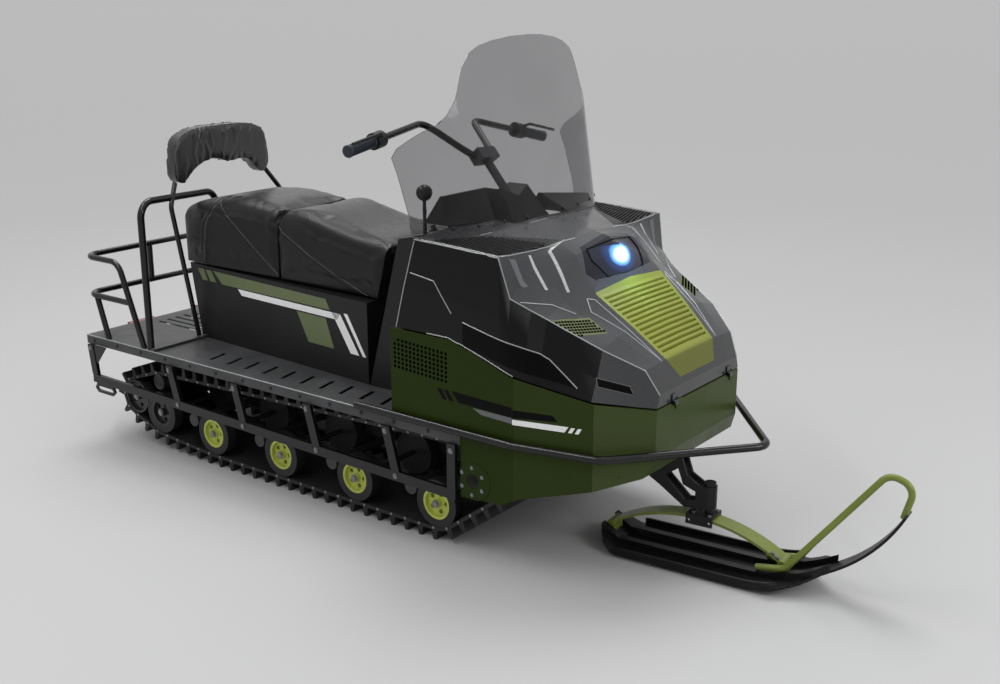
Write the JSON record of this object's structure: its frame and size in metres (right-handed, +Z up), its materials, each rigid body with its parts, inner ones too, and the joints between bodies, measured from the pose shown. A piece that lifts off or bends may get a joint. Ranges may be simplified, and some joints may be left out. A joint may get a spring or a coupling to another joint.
{
  "type": "utility snowmobile",
  "caption": "Twin-track utility snowmobile with one steered ski, tall windscreen, long two-up seat with backrest, and a tube cargo rack.",
  "frame": {"origin": "middle of the footprint on the ground", "axes": "+X forward to the ski, +Y to the rider's left, +Z up"},
  "size_m": [3.1033, 1.1264, 1.561],
  "materials": {
    "dark_steel": "dark grey powder coat",
    "deck_metal": "grey textured coat",
    "black_steel": "satin black",
    "track_rubber": "matt",
    "wheel_rubber": "matt",
    "olive_rim": "satin",
    "dark_plastic": "satin",
    "black_plastic": "fine texture",
    "seat_cover": "matt vinyl",
    "green_body": "satin army green",
    "grey_hood": "satin grey",
    "olive_grille": "satin",
    "engine_metal": "as cast",
    "lamp_red": "lens",
    "lamp_glass": "clear lens",
    "smoked_screen": "smoked clear sheet",
    "grip_rubber": "ribbed",
    "olive_steel": "satin",
    "ski_plastic": "satin",
    "bare_steel": "worn"
  },
  "bodies": {
    "chassis": {"backrest_pad": "seat_cover", "backrest_posts": "dark_steel", "bogie_arms_left": "dark_steel", "bogie_arms_right": "dark_steel", "bumper": "black_steel", "cargo_rack": "dark_steel", "centre_beam": "dark_steel", "console": "black_plastic", "deck": "deck_metal", "drive_axle": "dark_plastic", "engine_block": "engine_metal", "gear_lever": "black_plastic", "instrument_pod": "black_plastic", "kingpin_housing": "black_steel", "nose_pan": "green_body", "passenger_handle": "dark_steel", "rear_lamps": "lamp_red", "seat_box": "black_plastic", "seat_front": "seat_cover", "seat_rear": "seat_cover", "side_guard_left": "dark_steel", "side_guard_right": "dark_steel", "tow_hitch": "dark_steel", "track_left": "track_rubber", "track_right": "track_rubber", "wheel_rims_left": "olive_rim", "wheel_rims_right": "olive_rim", "wheel_tyres_left": "wheel_rubber", "wheel_tyres_right": "wheel_rubber"},
    "hood": {"hood": "grey_hood", "hood_grille": "olive_grille", "hood_vents": "black_plastic", "headlamp": "lamp_glass", "cowl": "black_plastic", "windscreen": "smoked_screen"},
    "handlebar": {"steering_column": "black_steel", "handlebar": "black_steel", "grips": "grip_rubber", "switch_housings": "black_plastic"},
    "ski": {"ski_fork": "black_steel", "leaf_spring": "olive_steel", "ski_blade": "ski_plastic", "ski_runner": "bare_steel", "ski_handle": "olive_steel"}
  },
  "joints": [
    {"name": "ski_steer", "type": "hinge", "parent": "chassis", "child": "ski", "pos_m": [0.945, 0, 0.2], "axis": [0, 0, 1], "range_deg": [-40, 30]},
    {"name": "handlebar_steer", "type": "hinge", "parent": "chassis", "child": "handlebar", "pos_m": [0.083, 0, 1.176], "axis": [-0.6428, 0, 0.766], "range_deg": [-40, 30]},
    {"name": "hood_open", "type": "hinge", "parent": "chassis", "child": "hood", "pos_m": [0.901, 0, 0.55], "axis": [0, 1, 0], "range_deg": [0, 60]}
  ],
  "couplings": [
    {"joint": "handlebar_steer", "follows": "ski_steer", "ratio": 1}
  ]
}
